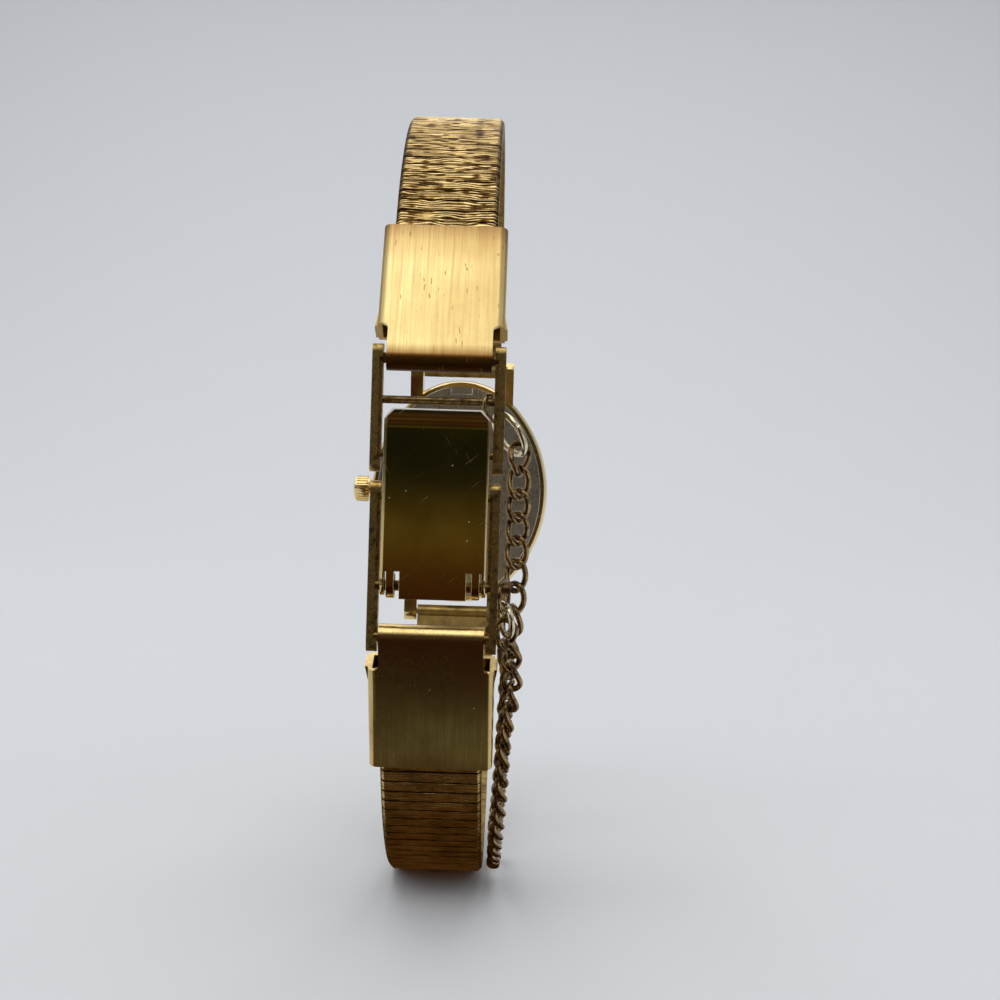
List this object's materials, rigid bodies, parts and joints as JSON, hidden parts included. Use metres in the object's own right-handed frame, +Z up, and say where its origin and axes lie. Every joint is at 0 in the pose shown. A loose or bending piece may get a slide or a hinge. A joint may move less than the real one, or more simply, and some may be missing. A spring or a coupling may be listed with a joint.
{
  "type": "wristwatch",
  "caption": "Oval wristwatch on a closed link bracelet with a lidded ladder clasp, end caps and a hanging safety chain.",
  "frame": {"origin": "middle of the wrist opening, half way between the case back and the clasp", "axes": "+X across the band, +Y out of the dial, +Z up from 6 to 12 o'clock"},
  "size_m": [0.0207, 0.0544, 0.0672],
  "materials": {
    "bark_gold": "gold-filled, bark textured",
    "case_gold": "gold-filled, polished",
    "crystal_glass": "clear",
    "steel": "satin",
    "dial_champagne": "lacquered sunray",
    "dark_hands": "polished",
    "blued_steel": "blued",
    "brushed_gold": "gold-filled, brushed",
    "polished_gold": "gold-filled, mirror polished, fine scratches",
    "aged_gold": "gold-filled, worn",
    "antique_bronze": "tarnished bronze",
    "bright_gold": "polished",
    "gilt_brass": "gilt"
  },
  "bodies": {
    "head": {"case_middle": "case_gold", "bezel": "case_gold", "crystal": "crystal_glass", "case_back": "steel", "movement_ring": "gilt_brass", "dial": "dial_champagne", "hour_markers": "case_gold", "main_plate": "gilt_brass", "train_bridge": "gilt_brass", "balance_cock": "gilt_brass", "movement_screws": "steel", "spring_bars": "steel"},
    "upper_band_1": {"upper_links_1": "bark_gold"},
    "upper_band_2": {"upper_links_2": "bark_gold"},
    "upper_band_3": {"upper_links_3": "bark_gold"},
    "upper_band_4": {"upper_links_4": "bark_gold"},
    "upper_band_5": {"upper_links_5": "bark_gold"},
    "upper_band_6": {"upper_links_6": "bark_gold"},
    "upper_cap": {"upper_end_cap": "brushed_gold", "upper_end_link": "bark_gold"},
    "upper_frame": {"upper_rails": "aged_gold", "upper_cap_pin": "aged_gold", "chain_bar": "antique_bronze", "catch_bar": "antique_bronze"},
    "lower_band_1": {"lower_links_1": "bark_gold"},
    "lower_band_2": {"lower_links_2": "bark_gold"},
    "lower_band_3": {"lower_links_3": "bark_gold"},
    "lower_band_4": {"lower_links_4": "bark_gold"},
    "lower_band_5": {"lower_links_5": "bark_gold"},
    "lower_band_6": {"lower_links_6": "bark_gold"},
    "lower_cap": {"lower_end_cap": "polished_gold", "lower_end_link": "bark_gold"},
    "lower_frame": {"lower_rails": "aged_gold", "lower_cap_pin": "aged_gold", "tie_bar": "aged_gold", "lid_pin": "aged_gold"},
    "lid": {"clasp_lid": "polished_gold"},
    "minute_arbor": {"centre_wheel": "gilt_brass", "minute_hand": "dark_hands"},
    "hour_pipe": {"hour_wheel": "gilt_brass", "hour_hand": "dark_hands"},
    "minute_wheel_body": {"minute_wheel": "gilt_brass"},
    "barrel_body": {"barrel": "gilt_brass"},
    "third_wheel_body": {"third_wheel": "gilt_brass"},
    "fourth_wheel_body": {"fourth_wheel": "gilt_brass"},
    "escape_wheel_body": {"escape_wheel": "steel"},
    "balance": {"balance_wheel": "gilt_brass", "hairspring": "blued_steel"},
    "pallets": {"pallet_fork": "steel"},
    "lever": {"setting_lever": "steel"},
    "stem": {"winding_stem": "steel", "crown": "case_gold"},
    "bar_link": {"bar_link": "antique_bronze"},
    "upper_ring": {"upper_jump_ring": "bright_gold"},
    "chain_top": {"chain_top": "antique_bronze"},
    "chain_inner": {"chain_inner": "antique_bronze"},
    "pin_ring": {"pin_ring": "antique_bronze"},
    "lower_ring": {"lower_jump_ring": "bright_gold"},
    "chain_outer": {"chain_outer": "antique_bronze"}
  },
  "joints": [
    {"name": "upper_lug_turn", "type": "hinge", "parent": "head", "child": "upper_band_1", "pos_m": [0, 0.02426, 0.01275], "axis": [1, 0, 0], "range_deg": [-4, 4]},
    {"name": "upper_flex_1", "type": "hinge", "parent": "upper_band_1", "child": "upper_band_2", "pos_m": [0, 0.01954, 0.02279], "axis": [1, 0, 0], "range_deg": [-1.05, 1.05]},
    {"name": "upper_flex_2", "type": "hinge", "parent": "upper_band_2", "child": "upper_band_3", "pos_m": [0, 0.01272, 0.02913], "axis": [1, 0, 0], "range_deg": [-1.61, 1.61]},
    {"name": "upper_flex_3", "type": "hinge", "parent": "upper_band_3", "child": "upper_band_4", "pos_m": [0, 0.00398, 0.03226], "axis": [1, 0, 0], "range_deg": [-1.93, 1.93]},
    {"name": "upper_flex_4", "type": "hinge", "parent": "upper_band_4", "child": "upper_band_5", "pos_m": [0, -0.00527, 0.03136], "axis": [1, 0, 0], "range_deg": [-1.91, 1.91]},
    {"name": "upper_flex_5", "type": "hinge", "parent": "upper_band_5", "child": "upper_band_6", "pos_m": [0, -0.01327, 0.02665], "axis": [1, 0, 0], "range_deg": [-1.64, 1.64]},
    {"name": "upper_cap_flex", "type": "hinge", "parent": "upper_band_6", "child": "upper_cap", "pos_m": [0, -0.01875, 0.01913], "axis": [1, 0, 0], "range_deg": [-0.93, 0.93]},
    {"name": "upper_cap_turn", "type": "hinge", "parent": "upper_cap", "child": "upper_frame", "pos_m": [0, -0.02376, 0.01045], "axis": [1, 0, 0], "range_deg": [-4.48, 4.48]},
    {"name": "lower_lug_turn", "type": "hinge", "parent": "head", "child": "lower_band_1", "pos_m": [0, 0.02426, -0.01275], "axis": [1, 0, 0], "range_deg": [-4.37, 4.37]},
    {"name": "lower_flex_1", "type": "hinge", "parent": "lower_band_1", "child": "lower_band_2", "pos_m": [0, 0.01954, -0.02279], "axis": [1, 0, 0], "range_deg": [-1.05, 1.05]},
    {"name": "lower_flex_2", "type": "hinge", "parent": "lower_band_2", "child": "lower_band_3", "pos_m": [0, 0.01272, -0.02913], "axis": [1, 0, 0], "range_deg": [-1.61, 1.61]},
    {"name": "lower_flex_3", "type": "hinge", "parent": "lower_band_3", "child": "lower_band_4", "pos_m": [0, 0.00398, -0.03226], "axis": [1, 0, 0], "range_deg": [-1.93, 1.93]},
    {"name": "lower_flex_4", "type": "hinge", "parent": "lower_band_4", "child": "lower_band_5", "pos_m": [0, -0.00527, -0.03136], "axis": [1, 0, 0], "range_deg": [-1.91, 1.91]},
    {"name": "lower_flex_5", "type": "hinge", "parent": "lower_band_5", "child": "lower_band_6", "pos_m": [0, -0.01327, -0.02665], "axis": [1, 0, 0], "range_deg": [-1.64, 1.64]},
    {"name": "lower_cap_flex", "type": "hinge", "parent": "lower_band_6", "child": "lower_cap", "pos_m": [0, -0.01875, -0.01913], "axis": [1, 0, 0], "range_deg": [-0.93, 0.93]},
    {"name": "lower_cap_turn", "type": "hinge", "parent": "lower_cap", "child": "lower_frame", "pos_m": [0, -0.02376, -0.01045], "axis": [1, 0, 0], "range_deg": [-4.48, 4.48]},
    {"name": "lid_swing", "type": "hinge", "parent": "lower_frame", "child": "lid", "pos_m": [0, -0.02376, -0.0066], "axis": [1, 0, 0], "range_deg": [0, 110]},
    {"name": "minute_turn", "type": "hinge", "parent": "head", "child": "minute_arbor", "pos_m": [0, 0.02316, 0], "axis": [0, -1, 0], "continuous": true},
    {"name": "hour_turn", "type": "hinge", "parent": "head", "child": "hour_pipe", "pos_m": [0, 0.02316, 0], "axis": [0, -1, 0], "continuous": true},
    {"name": "minute_wheel_turn", "type": "hinge", "parent": "head", "child": "minute_wheel_body", "pos_m": [0.00124, 0.02316, -0.00177], "axis": [0, -1, 0], "continuous": true},
    {"name": "barrel_turn", "type": "hinge", "parent": "head", "child": "barrel_body", "pos_m": [0.0021, 0.02316, 0.00364], "axis": [0, -1, 0], "continuous": true},
    {"name": "third_turn", "type": "hinge", "parent": "head", "child": "third_wheel_body", "pos_m": [0.00063, 0.02316, -0.00355], "axis": [0, -1, 0], "continuous": true},
    {"name": "fourth_turn", "type": "hinge", "parent": "head", "child": "fourth_wheel_body", "pos_m": [-0.00193, 0.02316, -0.00448], "axis": [0, -1, 0], "continuous": true},
    {"name": "escape_turn", "type": "hinge", "parent": "head", "child": "escape_wheel_body", "pos_m": [-0.00352, 0.02316, -0.00258], "axis": [0, -1, 0], "continuous": true},
    {"name": "balance_swing", "type": "hinge", "parent": "head", "child": "balance", "pos_m": [-0.00359, 0.02316, 0.00146], "axis": [0, -1, 0], "range_deg": [-135, 135], "stiffness_Nm_per_rad": 0.000000025},
    {"name": "pallet_rock", "type": "hinge", "parent": "head", "child": "pallets", "pos_m": [-0.00448, 0.02316, -0.00077], "axis": [0, -1, 0], "range_deg": [-6.5, 6.5]},
    {"name": "crown_pull", "type": "slide", "parent": "head", "child": "lever", "axis": [-1, 0, 0], "range_m": [0, 0.0007]},
    {"name": "crown_turn", "type": "hinge", "parent": "lever", "child": "stem", "pos_m": [-0.0093, 0.02603, 0], "axis": [-1, 0, 0], "continuous": true},
    {"name": "bar_link_swing", "type": "hinge", "parent": "upper_frame", "child": "bar_link", "pos_m": [0.0037, -0.02356, 0.00735], "axis": [1, 0, 0], "range_deg": [0, 12]},
    {"name": "upper_ring_swing", "type": "hinge", "parent": "bar_link", "child": "upper_ring", "pos_m": [0.0046, -0.02201, 0.0064], "axis": [0, -1, 0], "range_deg": [0, 4]},
    {"name": "chain_top_swing", "type": "hinge", "parent": "upper_ring", "child": "chain_top", "pos_m": [0.0062, -0.02166, 0.00375], "axis": [0, -1, 0], "range_deg": [0, 8]},
    {"name": "chain_inner_swing", "type": "hinge", "parent": "chain_top", "child": "chain_inner", "pos_m": [0.0061, -0.02066, -0.0104], "axis": [0, -1, 0], "range_deg": [0, 8]},
    {"name": "pin_ring_swing", "type": "hinge", "parent": "lower_frame", "child": "pin_ring", "pos_m": [0.0053, -0.02376, -0.0066], "axis": [1, 0, 0], "range_deg": [-4, 0]},
    {"name": "lower_ring_swing", "type": "hinge", "parent": "pin_ring", "child": "lower_ring", "pos_m": [0.00542, -0.02321, -0.0081], "axis": [1, 0, 0], "range_deg": [-3, 0]},
    {"name": "chain_outer_swing", "type": "hinge", "parent": "lower_ring", "child": "chain_outer", "pos_m": [0.0056, -0.02281, -0.0099], "axis": [0, -1, 0], "range_deg": [0, 6]}
  ],
  "couplings": [
    {"joint": "upper_flex_1", "follows": "upper_lug_turn", "ratio": -0.23078},
    {"joint": "upper_flex_2", "follows": "upper_lug_turn", "ratio": -0.36021},
    {"joint": "upper_flex_3", "follows": "upper_lug_turn", "ratio": -0.43491},
    {"joint": "upper_flex_4", "follows": "upper_lug_turn", "ratio": -0.4302},
    {"joint": "upper_flex_5", "follows": "upper_lug_turn", "ratio": -0.36692},
    {"joint": "upper_cap_flex", "follows": "upper_lug_turn", "ratio": -0.20343},
    {"joint": "upper_cap_turn", "follows": "upper_lug_turn", "ratio": 1.0264},
    {"joint": "lower_lug_turn", "follows": "upper_lug_turn", "ratio": -1},
    {"joint": "lower_flex_1", "follows": "upper_lug_turn", "ratio": 0.23078},
    {"joint": "lower_flex_2", "follows": "upper_lug_turn", "ratio": 0.36021},
    {"joint": "lower_flex_3", "follows": "upper_lug_turn", "ratio": 0.43491},
    {"joint": "lower_flex_4", "follows": "upper_lug_turn", "ratio": 0.4302},
    {"joint": "lower_flex_5", "follows": "upper_lug_turn", "ratio": 0.36692},
    {"joint": "lower_cap_flex", "follows": "upper_lug_turn", "ratio": 0.20343},
    {"joint": "lower_cap_turn", "follows": "upper_lug_turn", "ratio": -1.0264},
    {"joint": "hour_turn", "follows": "minute_turn", "ratio": 0.083333},
    {"joint": "minute_wheel_turn", "follows": "minute_turn", "ratio": -0.33333},
    {"joint": "barrel_turn", "follows": "minute_turn", "ratio": -0.16667},
    {"joint": "third_turn", "follows": "minute_turn", "ratio": -8},
    {"joint": "fourth_turn", "follows": "minute_turn", "ratio": 60},
    {"joint": "escape_turn", "follows": "minute_turn", "ratio": -600},
    {"joint": "pallet_rock", "follows": "balance_swing", "ratio": -0.044444}
  ]
}
